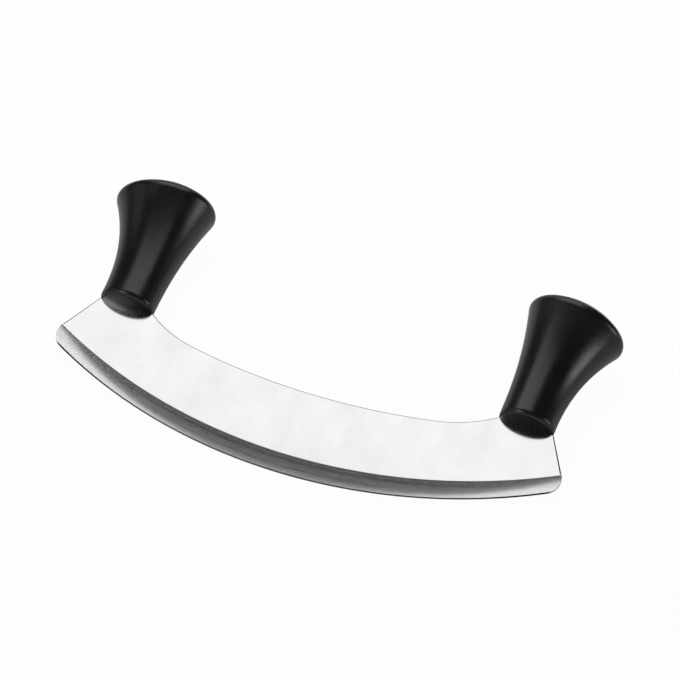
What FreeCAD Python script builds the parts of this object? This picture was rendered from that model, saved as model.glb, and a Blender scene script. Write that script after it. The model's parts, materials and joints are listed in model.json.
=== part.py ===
import FreeCAD, Part
import math
import os
import Sketcher

# A two-handled rocking knife: a stamped crescent blade with a tang at each end, and on each tang
# a moulded core with a flared black grip moulded over it. The handles are oval, thinner across the
# blade than along it. The knife lies on its back on a table, resting on the handles' crowns and the
# rims of their necks, with the blade's front face up.

# Driving sizes in millimetres and degrees. The blade is drawn flat: x runs along it and y from the
# cutting edge to the handles. A handle's heights go up its axis from the rim of its neck.
SIZES = {
    "blade_thickness": 1.6,
    "blade_height": 42.6,       # middle of the cutting edge to the spine
    "edge_radius": 233.6,       # arc that the knife rocks on
    "spine_radius": 298.0,
    "spine_blend": 60.5,        # curve from the spine up to a handle
    "end_angle": 28.4,          # slant of the blade's ends from upright
    "tip_radius": 8.5,
    "bevel_width": 9.6,         # ground band, at the middle of the blade
    "bevel_radius": 237.5,      # arc of the band's upper line
    "grind_radius": 110.0,      # wheel that ground the band hollow
    "bevel_edge": 0.4,          # steel left at the edge by the hollow grind
    "edge_angle": 18.0,         # slant of each side of the honed edge
    "edge_land": 0.1,           # flat left along the honed edge
    "handle_spacing": 186.7,    # between the two necks' axes
    "handle_height": 58.6,      # middle of the cutting edge to the necks' rims
    "tang_width": 11.0,
    "tang_length": 34.0,
    "tang_corner": 2.0,
    "shoulder_depth": 1.5,      # how far the blade's full width goes into the handle
    "shoulder_inset": 1.7,      # inner end of the shoulder, inside the neck
    "hole_diameter": 5.0,       # holes that the core's plastic fills
    "hole_margin": 9.0,         # upper hole's centre below the tang's top
    "hole_pitch": 12.0,
    "core_wall": 2.9,           # plastic beside and above the tang
    "core_chamfer": 1.0,
    "head_height": 3.0,         # core's head, inside the grip
    "head_rim": 2.4,            # grip showing round the head
    "head_proud": 0.1,          # head's dome beyond the grip's
    "lock_first": 9.0,          # lower groove round the core, filled by the grip
    "lock_pitch": 12.0,
    "lock_width": 3.0,
    "lock_depth": 1.0,
    "grip_wall": 4.2,           # grip round the core at the neck, along the blade
    "handle_oval": 0.84,        # a handle's thickness across the blade, over its width along it
    "neck_straight": 2.6,
    "dome_drop": 1.5,           # slightly domed lower end of the handle
    "rim_round": 2.2,
    "flare_length": 52.5,
    "flare_growth": 10.05,       # how much the radius grows from neck to crown
    "flare_power": 2.22,
    "bend_angle": 8.2,          # outward turn of the handle's centreline
    "crown_roll": 3.0,
    "crown_height": 10.8,       # top of the dome above the end of the flare
}
HOLES = 2                       # in each tang
LOCKS = 2                       # grooves round each core
FLARE_STEPS = 8
CUT_ROOM = 1.0                  # how far a cutting outline stands clear of what it cuts
HALVINGS = 60                   # in the search for the angle at which the knife rests
TOLERANCE = 1e-6

# Sizes that follow from the ones above, as the sketches' dimensions state them.
HALF_SPACING = "Sizes.handle_spacing / 2"
BORE = "(Sizes.tang_width / 2 + Sizes.core_wall)"
NECK = f"({BORE} + Sizes.grip_wall)"
SHOULDER = "(Sizes.handle_height + Sizes.shoulder_depth)"
TANG_TOP = "(Sizes.handle_height + Sizes.tang_length)"
CORE_TOP = "(Sizes.tang_length + Sizes.core_wall)"
DOME_CENTRE = f"(({NECK} ^ 2 - Sizes.dome_drop ^ 2) / (2 * Sizes.dome_drop))"
DOME_RADIUS = f"({DOME_CENTRE} + Sizes.dome_drop)"
BEND_RADIUS = "(Sizes.flare_length / (Sizes.bend_angle * pi / 180))"
FLARE_END = f"({NECK} + Sizes.flare_growth)"
FLARE_SLOPE = "atan(Sizes.flare_growth * Sizes.flare_power / Sizes.flare_length)"

# The same sizes as numbers, for the first drawing of each sketch.
bore_radius = SIZES["tang_width"] / 2 + SIZES["core_wall"]
neck_radius = bore_radius + SIZES["grip_wall"]
core_top = SIZES["tang_length"] + SIZES["core_wall"]
dome_centre = (neck_radius**2 - SIZES["dome_drop"] ** 2) / (2 * SIZES["dome_drop"])
dome_radius = dome_centre + SIZES["dome_drop"]
bend = math.radians(SIZES["bend_angle"])
bend_radius = SIZES["flare_length"] / bend
flare_end = neck_radius + SIZES["flare_growth"]
flare_slope = math.atan(SIZES["flare_growth"] * SIZES["flare_power"] / SIZES["flare_length"])
roll_radius = flare_end - SIZES["crown_roll"] * math.cos(flare_slope)
roll_height = SIZES["crown_roll"] * math.sin(flare_slope)

# Ends of a sketch curve, the sketch's origin and its upright axis, as constraints name them.
START, END, CENTRE = range(1, 4)
LEVEL_AXIS, UPRIGHT_AXIS = range(-1, -3, -1)
ORIGIN = (LEVEL_AXIS, START)


def vector(x, y, z=0.0):
    return FreeCAD.Vector(x, y, z)


def make_sheet(doc):
    """Spreadsheet with one named cell for each driving size."""
    sheet = doc.addObject("Spreadsheet::Sheet", "Sizes")
    for row, (name, value) in enumerate(SIZES.items(), start=1):
        sheet.set(f"A{row}", name)
        sheet.set(f"B{row}", str(value))
        sheet.setAlias(f"B{row}", name)
    doc.recompute()


def origin_plane(body, role):
    return [feature for feature in body.Origin.OriginFeatures if feature.Role == role][0]


def new_sketch(body, name, role):
    """Sketch on one of the body's own origin planes."""
    sketch = body.newObject("Sketcher::SketchObject", name)
    sketch.AttachmentSupport = [(origin_plane(body, role), "")]
    sketch.MapMode = "FlatFace"
    return sketch


def add_line(sketch, start, end):
    return sketch.addGeometry(Part.LineSegment(vector(*start), vector(*end)))


def add_path(sketch, points):
    """Straight lines through the points, each joined to the next."""
    lines = [add_line(sketch, start, end) for start, end in zip(points, points[1:])]
    for first, second in zip(lines, lines[1:]):
        join(sketch, ((first, END), (second, START)))
    return lines


def add_arc(sketch, centre, start, end):
    """Arc drawn anticlockwise from the start point to the end point."""
    angles = [math.atan2(point[1] - centre[1], point[0] - centre[0]) for point in (start, end)]
    circle = Part.Circle(vector(*centre), vector(0, 0, 1), math.dist(centre, start))
    return sketch.addGeometry(Part.ArcOfCircle(circle, *angles))


def add_circle(sketch, centre, radius):
    return sketch.addGeometry(Part.Circle(vector(*centre), vector(0, 0, 1), radius))


def join(sketch, *pairs):
    """Makes each pair of curve ends meet."""
    for first, second in pairs:
        sketch.addConstraint(Sketcher.Constraint("Coincident", *first, *second))


def blend(sketch, *pairs):
    """Makes each pair of curve ends meet in one smooth line."""
    for first, second in pairs:
        sketch.addConstraint(Sketcher.Constraint("Tangent", *first, *second))


def level(sketch, *lines):
    for line in lines:
        sketch.addConstraint(Sketcher.Constraint("Horizontal", line))


def upright(sketch, *lines):
    for line in lines:
        sketch.addConstraint(Sketcher.Constraint("Vertical", line))


def on_axis(sketch, *points):
    for point in points:
        sketch.addConstraint(Sketcher.Constraint("PointOnObject", *point, UPRIGHT_AXIS))


def bind_radius(sketch, curve, expression):
    index = sketch.addConstraint(Sketcher.Constraint("Radius", curve, sketch.Geometry[curve].Radius))
    sketch.setExpression(f"Constraints[{index}]", expression)


def bind_angle(sketch, line, expression):
    """Ties the direction of a line, from its start to its end."""
    span = sketch.getPoint(line, END) - sketch.getPoint(line, START)
    index = sketch.addConstraint(Sketcher.Constraint("Angle", line, math.atan2(span.y, span.x)))
    sketch.setExpression(f"Constraints[{index}]", expression)


def bind_x(sketch, point, expression, start=ORIGIN):
    """Ties how far a point lies along x from the start, which is the sketch's origin."""
    span = sketch.getPoint(*point) - sketch.getPoint(*start)
    index = sketch.addConstraint(Sketcher.Constraint("DistanceX", *start, *point, span.x))
    sketch.setExpression(f"Constraints[{index}]", expression)


def bind_y(sketch, point, expression, start=ORIGIN):
    """Ties how far a point lies along y from the start, which is the sketch's origin."""
    span = sketch.getPoint(*point) - sketch.getPoint(*start)
    index = sketch.addConstraint(Sketcher.Constraint("DistanceY", *start, *point, span.y))
    sketch.setExpression(f"Constraints[{index}]", expression)


def revolve(body, kind, name, sketch):
    """Full turn of a sketch about its own upright axis."""
    feature = body.newObject(f"PartDesign::{kind}", name)
    feature.Profile = sketch
    feature.ReferenceAxis = (sketch, ["V_Axis"])
    feature.Angle = 360.0
    sketch.Document.recompute()
    return feature


def check_cut(before, feature):
    """Stops if a cutting feature took nothing away."""
    if feature.Shape.Volume >= before.Shape.Volume:
        raise RuntimeError(f"{feature.Name} cuts nothing")


def tip_points():
    """Centre of the rounded lower corner and where it meets the cutting edge and the end line."""
    edge = SIZES["edge_radius"]
    tip = SIZES["tip_radius"]
    slant = math.radians(SIZES["end_angle"])
    down = vector(math.sin(slant), -math.cos(slant))
    inward = vector(-math.cos(slant), -math.sin(slant))
    rim = vector(SIZES["handle_spacing"] / 2 + neck_radius, SIZES["handle_height"])
    edge_centre = vector(0, edge)
    reach = rim + inward * tip - edge_centre
    along = reach.dot(down)
    travel = math.sqrt(along**2 - reach.dot(reach) + (edge - tip) ** 2) - along
    centre = rim + inward * tip + down * travel
    on_edge = edge_centre + (centre - edge_centre) * (edge / (edge - tip))
    on_end = centre - inward * tip
    return [(point.x, point.y) for point in (centre, on_edge, on_end)]


def spine_rises_to(end):
    """Tells whether a point beside a handle lies above the spine's arc, so that the blend is hollow."""
    return math.dist(end, (0, SIZES["blade_height"] + SIZES["spine_radius"])) < SIZES["spine_radius"]


def blend_points(end):
    """Centre of the curve that ends beside a handle, and where it leaves the spine's arc."""
    spine = SIZES["spine_radius"]
    curve = SIZES["spine_blend"] if spine_rises_to(end) else -SIZES["spine_blend"]
    spine_centre = vector(0, SIZES["blade_height"] + spine)
    to_end = vector(*end) - spine_centre
    distance = to_end.Length
    ahead = to_end / distance
    # where a circle round the end point crosses one round the spine's centre
    along = (distance**2 + (spine - curve) ** 2 - curve**2) / (2 * distance)
    aside = math.sqrt((spine - curve) ** 2 - along**2)
    centre = spine_centre + ahead * along + vector(ahead.y, -ahead.x) * aside
    on_spine = spine_centre + (centre - spine_centre) * (spine / (spine - curve))
    return [(point.x, point.y) for point in (centre, on_spine)]


def draw_tang_holes(sketch, axis_x, top_y):
    for index in range(HOLES):
        below = SIZES["hole_margin"] + index * SIZES["hole_pitch"]
        hole = add_circle(sketch, (axis_x, top_y - below), SIZES["hole_diameter"] / 2)
        bind_radius(sketch, hole, "Sizes.hole_diameter / 2")
        bind_x(sketch, (hole, CENTRE), HALF_SPACING)
        bind_y(sketch, (hole, CENTRE), f"{TANG_TOP} - Sizes.hole_margin - {index} * Sizes.hole_pitch")


def draw_tang(sketch, outer_end, inner_end):
    """Shoulders and tang between the blade's end line and the spine's curve; gives the two shoulders."""
    axis_x = SIZES["handle_spacing"] / 2
    shoulder_y = outer_end[1]
    top_y = SIZES["handle_height"] + SIZES["tang_length"]
    corner = SIZES["tang_corner"]
    inner = axis_x - SIZES["tang_width"] / 2
    outer = axis_x + SIZES["tang_width"] / 2
    corner_y = top_y - corner

    outer_shoulder = add_line(sketch, outer_end, (outer, shoulder_y))
    outer_side = add_line(sketch, (outer, shoulder_y), (outer, corner_y))
    outer_corner = add_arc(sketch, (outer - corner, corner_y), (outer, corner_y), (outer - corner, top_y))
    top = add_line(sketch, (outer - corner, top_y), (inner + corner, top_y))
    inner_corner = add_arc(sketch, (inner + corner, corner_y), (inner + corner, top_y), (inner, corner_y))
    inner_side = add_line(sketch, (inner, corner_y), (inner, shoulder_y))
    inner_shoulder = add_line(sketch, (inner, shoulder_y), inner_end)

    join(
        sketch,
        ((outer_shoulder, END), (outer_side, START)),
        ((inner_side, END), (inner_shoulder, START)),
    )
    blend(
        sketch,
        ((outer_side, END), (outer_corner, START)),
        ((outer_corner, END), (top, START)),
        ((top, END), (inner_corner, START)),
        ((inner_corner, END), (inner_side, START)),
    )
    level(sketch, outer_shoulder, top, inner_shoulder)
    upright(sketch, outer_side, inner_side)
    bind_radius(sketch, outer_corner, "Sizes.tang_corner")
    bind_radius(sketch, inner_corner, "Sizes.tang_corner")
    bind_x(sketch, (outer_side, START), f"{HALF_SPACING} + Sizes.tang_width / 2")
    bind_x(sketch, (inner_side, START), f"{HALF_SPACING} - Sizes.tang_width / 2")
    bind_y(sketch, (top, START), TANG_TOP)
    bind_y(sketch, (inner_shoulder, START), SHOULDER)
    draw_tang_holes(sketch, axis_x, top_y)
    return outer_shoulder, inner_shoulder


def draw_blade_half(body):
    """Outline of the blade's right half, with its tang."""
    sketch = new_sketch(body, "BladeHalf", "XY_Plane")
    axis_x = SIZES["handle_spacing"] / 2
    shoulder_y = SIZES["handle_height"] + SIZES["shoulder_depth"]
    slant = math.tan(math.radians(SIZES["end_angle"]))
    outer_end = (axis_x + neck_radius - SIZES["shoulder_depth"] * slant, shoulder_y)
    inner_end = (axis_x - neck_radius + SIZES["shoulder_inset"], shoulder_y)
    tip_centre, tip_edge, tip_end = tip_points()
    curve_centre, curve_start = blend_points(inner_end)
    spine_y = SIZES["blade_height"]

    edge = add_arc(sketch, (0, SIZES["edge_radius"]), (0, 0), tip_edge)
    tip = add_arc(sketch, tip_centre, tip_edge, tip_end)
    end = add_line(sketch, tip_end, outer_end)
    outer_shoulder, inner_shoulder = draw_tang(sketch, outer_end, inner_end)
    if spine_rises_to(inner_end):
        curve = add_arc(sketch, curve_centre, curve_start, inner_end)
        from_spine, to_shoulder = START, END
    else:
        curve = add_arc(sketch, curve_centre, inner_end, curve_start)
        from_spine, to_shoulder = END, START
    spine = add_arc(sketch, (0, spine_y + SIZES["spine_radius"]), (0, spine_y), curve_start)
    middle = add_line(sketch, (0, spine_y), (0, 0))

    join(
        sketch,
        ((edge, START), ORIGIN),
        ((end, END), (outer_shoulder, START)),
        ((inner_shoulder, END), (curve, to_shoulder)),
        ((spine, START), (middle, START)),
        ((middle, END), (edge, START)),
    )
    blend(
        sketch,
        ((edge, END), (tip, START)),
        ((tip, END), (end, START)),
        ((curve, from_spine), (spine, END)),
    )
    on_axis(sketch, (edge, CENTRE), (spine, CENTRE), (spine, START))
    bind_radius(sketch, edge, "Sizes.edge_radius")
    bind_radius(sketch, tip, "Sizes.tip_radius")
    bind_radius(sketch, curve, "Sizes.spine_blend")
    bind_radius(sketch, spine, "Sizes.spine_radius")
    bind_angle(sketch, end, "90 + Sizes.end_angle")
    end_inset = "Sizes.shoulder_depth * tan(Sizes.end_angle * 1 deg)"
    bind_x(sketch, (end, END), f"{HALF_SPACING} + {NECK} - {end_inset}")
    bind_y(sketch, (end, END), SHOULDER)
    bind_x(sketch, (inner_shoulder, END), f"{HALF_SPACING} - {NECK} + Sizes.shoulder_inset")
    bind_y(sketch, (spine, START), "Sizes.blade_height")
    return sketch


def draw_hollow_grind(body):
    """What the grinding wheel takes off one side, seen across the blade from the bevel arc's centre."""
    sketch = new_sketch(body, "HollowGrind", "YZ_Plane")
    sketch.setExpression("AttachmentOffset.Base.x", "Sizes.bevel_width + Sizes.bevel_radius")
    line_x = -SIZES["bevel_radius"]
    edge_x = line_x - SIZES["bevel_width"]
    face_z = SIZES["blade_thickness"] / 2
    edge_z = SIZES["bevel_edge"] / 2
    clear_x = edge_x - CUT_ROOM
    clear_z = face_z + CUT_ROOM
    across = vector(SIZES["bevel_width"], face_z - edge_z)
    half = across.Length / 2
    rise = math.sqrt(SIZES["grind_radius"] ** 2 - half**2)
    away = vector(-across.y, across.x) / across.Length
    centre = vector(edge_x, edge_z) + across / 2 + away * rise

    wheel = add_arc(sketch, (centre.x, centre.y), (edge_x, edge_z), (line_x, face_z))
    outside = [(line_x, face_z), (line_x, clear_z), (clear_x, clear_z), (clear_x, edge_z), (edge_x, edge_z)]
    rise_line, over, fall, under = add_path(sketch, outside)
    join(sketch, ((wheel, END), (rise_line, START)), ((under, END), (wheel, START)))
    upright(sketch, rise_line, fall)
    level(sketch, over, under)
    bind_radius(sketch, wheel, "Sizes.grind_radius")
    bind_x(sketch, ORIGIN, "Sizes.bevel_radius", start=(wheel, END))
    bind_y(sketch, (wheel, END), "Sizes.blade_thickness / 2")
    bind_x(sketch, ORIGIN, "Sizes.bevel_radius + Sizes.bevel_width", start=(wheel, START))
    bind_y(sketch, (wheel, START), "Sizes.bevel_edge / 2")
    bind_x(sketch, ORIGIN, f"Sizes.bevel_radius + Sizes.bevel_width + {CUT_ROOM}", start=(fall, START))
    bind_y(sketch, (fall, START), f"Sizes.blade_thickness / 2 + {CUT_ROOM}")
    return sketch


def draw_honed_edge(body):
    """What honing takes off one side of the cutting edge, seen from the edge arc's centre."""
    sketch = new_sketch(body, "HonedEdge", "YZ_Plane")
    sketch.setExpression("AttachmentOffset.Base.x", "Sizes.edge_radius")
    edge_x = -SIZES["edge_radius"]
    land_z = SIZES["edge_land"] / 2
    top_z = SIZES["blade_thickness"] / 2 + CUT_ROOM
    inner_x = edge_x + (top_z - land_z) / math.tan(math.radians(SIZES["edge_angle"]))
    clear_x = edge_x - CUT_ROOM
    outline = [(edge_x, land_z), (inner_x, top_z), (clear_x, top_z), (clear_x, land_z), (edge_x, land_z)]
    slope, over, fall, under = add_path(sketch, outline)
    join(sketch, ((under, END), (slope, START)))
    upright(sketch, fall)
    level(sketch, over, under)
    bind_angle(sketch, slope, "Sizes.edge_angle")
    bind_x(sketch, ORIGIN, "Sizes.edge_radius", start=(slope, START))
    bind_y(sketch, (slope, START), "Sizes.edge_land / 2")
    bind_x(sketch, ORIGIN, f"Sizes.edge_radius + {CUT_ROOM}", start=(fall, START))
    bind_y(sketch, (fall, START), f"Sizes.blade_thickness / 2 + {CUT_ROOM}")
    return sketch


def mirror(body, name, originals, role):
    feature = body.newObject("PartDesign::Mirrored", name)
    feature.Originals = originals
    feature.MirrorPlane = (origin_plane(body, role), [""])
    body.Tip = feature
    body.Document.recompute()
    return feature


def build_blade(doc):
    """Stamped sheet with a hollow grind and a honed edge on both sides."""
    body = doc.addObject("PartDesign::Body", "Blade")
    body.Label = "blade"
    pad = body.newObject("PartDesign::Pad", "Sheet")
    pad.Profile = draw_blade_half(body)
    pad.SideType = "Symmetric"
    pad.setExpression("Length", "Sizes.blade_thickness")
    doc.recompute()
    whole = mirror(body, "WholeSheet", [pad], "YZ_Plane")
    grind = revolve(body, "Groove", "Grind", draw_hollow_grind(body))
    check_cut(whole, grind)
    hone = revolve(body, "Groove", "Hone", draw_honed_edge(body))
    check_cut(grind, hone)
    both = mirror(body, "BackOfTheEdge", [grind, hone], "XY_Plane")
    check_cut(hone, both)
    return body


def draw_core(body):
    """Half section of the core: domed head, shoulder and a spigot with a chamfered top."""
    sketch = new_sketch(body, "CoreSection", "XY_Plane")
    head = neck_radius - SIZES["head_rim"]
    dome = dome_radius + SIZES["head_proud"]
    bottom_y = dome_centre - dome
    side_y = dome_centre - math.sqrt(dome**2 - head**2)
    head_y = SIZES["head_height"]
    chamfer = SIZES["core_chamfer"]

    arc = add_arc(sketch, (0, dome_centre), (0, bottom_y), (head, side_y))
    outline = [
        (head, side_y),
        (head, head_y),
        (bore_radius, head_y),
        (bore_radius, core_top - chamfer),
        (bore_radius - chamfer, core_top),
        (0, core_top),
        (0, bottom_y),
    ]
    head_side, seat, spigot, edge_cut, top, axis = add_path(sketch, outline)
    join(sketch, ((arc, END), (head_side, START)), ((axis, END), (arc, START)))
    upright(sketch, head_side, spigot, axis)
    level(sketch, seat, top)
    on_axis(sketch, (arc, CENTRE), (axis, START))
    bind_y(sketch, (arc, CENTRE), DOME_CENTRE)
    bind_radius(sketch, arc, f"{DOME_RADIUS} + Sizes.head_proud")
    bind_x(sketch, (head_side, START), f"{NECK} - Sizes.head_rim")
    bind_y(sketch, (seat, START), "Sizes.head_height")
    bind_x(sketch, (spigot, START), BORE)
    bind_y(sketch, (edge_cut, START), f"{CORE_TOP} - Sizes.core_chamfer")
    bind_x(sketch, (edge_cut, END), f"{BORE} - Sizes.core_chamfer")
    bind_y(sketch, (edge_cut, END), CORE_TOP)
    return sketch


def draw_core_locks(body):
    """Half section of the grooves round the spigot that the grip's plastic fills."""
    sketch = new_sketch(body, "LockSection", "XY_Plane")
    floor = bore_radius - SIZES["lock_depth"]
    clear = bore_radius + CUT_ROOM
    for index in range(LOCKS):
        low = SIZES["lock_first"] + index * SIZES["lock_pitch"]
        high = low + SIZES["lock_width"]
        low_text = f"Sizes.lock_first + {index} * Sizes.lock_pitch"
        corners = [(floor, low), (clear, low), (clear, high), (floor, high), (floor, low)]
        lower, outer, upper, inner = add_path(sketch, corners)
        join(sketch, ((inner, END), (lower, START)))
        level(sketch, lower, upper)
        upright(sketch, outer, inner)
        bind_x(sketch, (lower, START), f"{BORE} - Sizes.lock_depth")
        bind_x(sketch, (lower, END), f"{BORE} + {CUT_ROOM}")
        bind_y(sketch, (lower, START), low_text)
        bind_y(sketch, (upper, START), f"{low_text} + Sizes.lock_width")
    return sketch


def build_core_blank(doc, side):
    """Core before the blade is moulded into it."""
    body = doc.addObject("PartDesign::Body", f"{side}CoreBlank")
    turned = revolve(body, "Revolution", "CoreTurned", draw_core(body))
    locks = revolve(body, "Groove", "CoreLocks", draw_core_locks(body))
    check_cut(turned, locks)
    return body


def draw_neck(body):
    """Half section of the grip's domed lower end and the straight start of its neck."""
    sketch = new_sketch(body, "NeckSection", "XY_Plane")
    top_y = SIZES["neck_straight"]
    bottom_y = -SIZES["dome_drop"]
    arc = add_arc(sketch, (0, dome_centre), (0, bottom_y), (neck_radius, 0))
    outline = [(neck_radius, 0), (neck_radius, top_y), (0, top_y), (0, bottom_y)]
    side, top, axis = add_path(sketch, outline)
    join(sketch, ((arc, END), (side, START)), ((axis, END), (arc, START)))
    upright(sketch, side, axis)
    level(sketch, top)
    on_axis(sketch, (arc, CENTRE), (axis, START))
    bind_x(sketch, (side, START), NECK)
    bind_y(sketch, (side, START), "0")
    bind_y(sketch, (side, END), "Sizes.neck_straight")
    bind_y(sketch, (arc, CENTRE), DOME_CENTRE)
    return sketch


def round_rim(body, neck):
    """Rounds the rim where the neck meets the domed end."""
    names = []
    for index, edge in enumerate(neck.Shape.Edges, start=1):
        on_rim = all(abs(vertex.Point.y) < TOLERANCE for vertex in edge.Vertexes)
        if on_rim and not edge.Degenerated:
            names.append(f"Edge{index}")
    fillet = body.newObject("PartDesign::Fillet", "RimRound")
    fillet.Base = (neck, names)
    fillet.setExpression("Radius", "Sizes.rim_round")
    body.Document.recompute()


def draw_flare_ring(body, step):
    """Circle across the bent centreline, a given step of the way up the flare."""
    way = step / FLARE_STEPS
    sketch = new_sketch(body, f"FlareRing{step}", "XZ_Plane")
    ring = add_circle(sketch, (0, 0), neck_radius + SIZES["flare_growth"] * way ** SIZES["flare_power"])
    join(sketch, ((ring, CENTRE), ORIGIN))
    bind_radius(sketch, ring, f"{NECK} + Sizes.flare_growth * {way} ^ Sizes.flare_power")
    # the plane's own axes are the body's x, z and minus y
    turn = FreeCAD.Rotation(vector(0, -1, 0), math.degrees(bend * way))
    sketch.AttachmentOffset = FreeCAD.Placement(vector(0, 0, 0), turn)
    angle = f"(Sizes.bend_angle * {way} * 1 deg)"
    sketch.setExpression("AttachmentOffset.Base.x", f"{BEND_RADIUS} * (1 - cos({angle}))")
    sketch.setExpression("AttachmentOffset.Base.z", f"-Sizes.neck_straight - {BEND_RADIUS} * sin({angle})")
    if step:
        sketch.setExpression("AttachmentOffset.Rotation.Angle", f"Sizes.bend_angle * {way}")
    return sketch


def draw_crown(body):
    """Half section of the rolled-over rim and the low dome, across the end of the centreline."""
    sketch = new_sketch(body, "CrownSection", "XY_Plane")
    turn = FreeCAD.Rotation(vector(0, 0, -1), SIZES["bend_angle"])
    sketch.AttachmentOffset = FreeCAD.Placement(vector(0, 0, 0), turn)
    angle = "(Sizes.bend_angle * 1 deg)"
    sketch.setExpression("AttachmentOffset.Base.x", f"{BEND_RADIUS} * (1 - cos({angle}))")
    sketch.setExpression("AttachmentOffset.Base.y", f"Sizes.neck_straight + {BEND_RADIUS} * sin({angle})")
    sketch.setExpression("AttachmentOffset.Rotation.Angle", "Sizes.bend_angle")

    roll = SIZES["crown_roll"]
    top_y = SIZES["crown_height"]
    rise = top_y - roll_height - roll
    below = (roll_radius**2 - rise**2) / (2 * rise)
    reach = math.hypot(roll_radius, below)
    dome_y = roll_height - below
    meet = (roll_radius * (1 + roll / reach), roll_height + below * roll / reach)

    rim = add_arc(sketch, (roll_radius, roll_height), (flare_end, 0), meet)
    dome = add_arc(sketch, (0, dome_y), meet, (0, top_y))
    axis, base = add_path(sketch, [(0, top_y), (0, 0), (flare_end, 0)])
    join(sketch, ((dome, END), (axis, START)), ((axis, END), ORIGIN), ((base, END), (rim, START)))
    blend(sketch, ((rim, END), (dome, START)))
    level(sketch, base)
    on_axis(sketch, (dome, CENTRE), (dome, END))
    bind_x(sketch, (rim, START), FLARE_END)
    bind_x(sketch, (rim, CENTRE), f"{FLARE_END} - Sizes.crown_roll * cos({FLARE_SLOPE})")
    bind_y(sketch, (rim, CENTRE), f"Sizes.crown_roll * sin({FLARE_SLOPE})")
    bind_y(sketch, (dome, END), "Sizes.crown_height")
    return sketch


def build_grip_blank(doc, side):
    """Grip before the core and the blade are moulded into it."""
    body = doc.addObject("PartDesign::Body", f"{side}GripBlank")
    neck = revolve(body, "Revolution", "Neck", draw_neck(body))
    round_rim(body, neck)
    rings = [draw_flare_ring(body, step) for step in range(FLARE_STEPS + 1)]
    flare = body.newObject("PartDesign::AdditiveLoft", "Flare")
    flare.Profile = rings[0]
    flare.Sections = rings[1:]
    doc.recompute()
    revolve(body, "Revolution", "Crown", draw_crown(body))
    return body


def squeeze(doc, name, blank):
    """Oval copy of a turned blank: thinner across the blade, as wide as before along it."""
    oval = doc.addObject("Part::Scale", name)
    oval.Base = blank
    oval.Uniform = False
    oval.setExpression("ZScale", "Sizes.handle_oval")
    return oval


def cut(doc, name, base, tool):
    feature = doc.addObject("Part::Cut", name)
    feature.Base = base
    feature.Tool = tool
    return feature


def table_rings():
    """Crown, neck rim and cutting edge: each one's place, radius, lean, the round of its rim and how
    much it is squeezed across the blade."""
    oval = SIZES["handle_oval"]
    crown_up = SIZES["neck_straight"] + bend_radius * math.sin(bend) + roll_height * math.cos(bend)
    crown = (SIZES["handle_height"] + crown_up, roll_radius, bend, SIZES["crown_roll"], oval)
    round_ = SIZES["rim_round"]
    inset = neck_radius - round_
    rim_up = dome_centre - math.sqrt((dome_radius - round_) ** 2 - inset**2)
    rim = (SIZES["handle_height"] + rim_up, inset, 0.0, round_, oval)
    edge = (0.0, SIZES["edge_land"] / 2, 0.0, 0.0, 1.0)
    return crown, rim, edge


def lowest(ring, tilt):
    """Height of the lowest point of a rounded ring when the blade leans back."""
    place, radius, lean, round_, oval = ring
    # the squeezed ring lies on the table as a round one does on a steeper table, in a longer measure
    along, upward = math.sin(tilt), oval * math.cos(tilt)
    measure = math.hypot(along, upward)
    across = math.sqrt(1 - (along / measure * math.cos(lean)) ** 2)
    return place * along - measure * (radius * across + round_)


def level_tilt(crown, other):
    """Angle at which the crowns and another ring touch the table together."""
    low, high = 0.0, math.pi / 4
    for _ in range(HALVINGS):
        tilt = (low + high) / 2
        if lowest(crown, tilt) < lowest(other, tilt):
            low = tilt
        else:
            high = tilt
    return low


def lay_back():
    """How the flat blade lies on the table: on the crowns and on what else touches first."""
    crown, rim, edge = table_rings()
    tilt = min(level_tilt(crown, rim), level_tilt(crown, edge))
    turn = FreeCAD.Rotation(vector(1, 0, 0), math.degrees(tilt))
    print(f"the blade leans back by {math.degrees(tilt):.3f} degrees")
    return FreeCAD.Placement(vector(0, 0, -lowest(crown, tilt)), turn)


def place_bodies(doc, blade, handles):
    """Lays the flat blade and its handles back, then centres the whole over the origin."""
    rest = lay_back()
    blade.Placement = rest
    for sign, blanks in handles:
        # the left handle is the right one turned half round its own axis
        turn = FreeCAD.Rotation(vector(0, 1, 0), 0 if sign > 0 else 180)
        base = vector(sign * SIZES["handle_spacing"] / 2, SIZES["handle_height"])
        for blank in blanks:
            blank.Placement = rest.multiply(FreeCAD.Placement(base, turn))
    doc.recompute()
    solids = [blade] + [blank for _, blanks in handles for blank in blanks]
    boxes = [solid.Shape.optimalBoundingBox() for solid in solids]
    middle = (min(box.YMin for box in boxes) + max(box.YMax for box in boxes)) / 2
    shift = FreeCAD.Placement(vector(0, -middle), FreeCAD.Rotation())
    for solid in solids:
        solid.Placement = shift.multiply(solid.Placement)
    doc.recompute()
    print(f"the middle of the cutting edge is at y {-middle:.3f}, z {rest.Base.z:.3f} mm")


def check(doc, pieces):
    """Stops if anything failed to build, or a piece isn't one valid solid."""
    for item in doc.Objects:
        if "Invalid" in item.State or "Error" in item.State:
            raise RuntimeError(f"{item.Name} failed: {item.State}")
    for piece in pieces:
        shape = piece.Shape
        if shape.isNull() or not shape.isValid() or len(shape.Solids) != 1:
            raise RuntimeError(f"{piece.Label} is not one valid solid")


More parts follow.
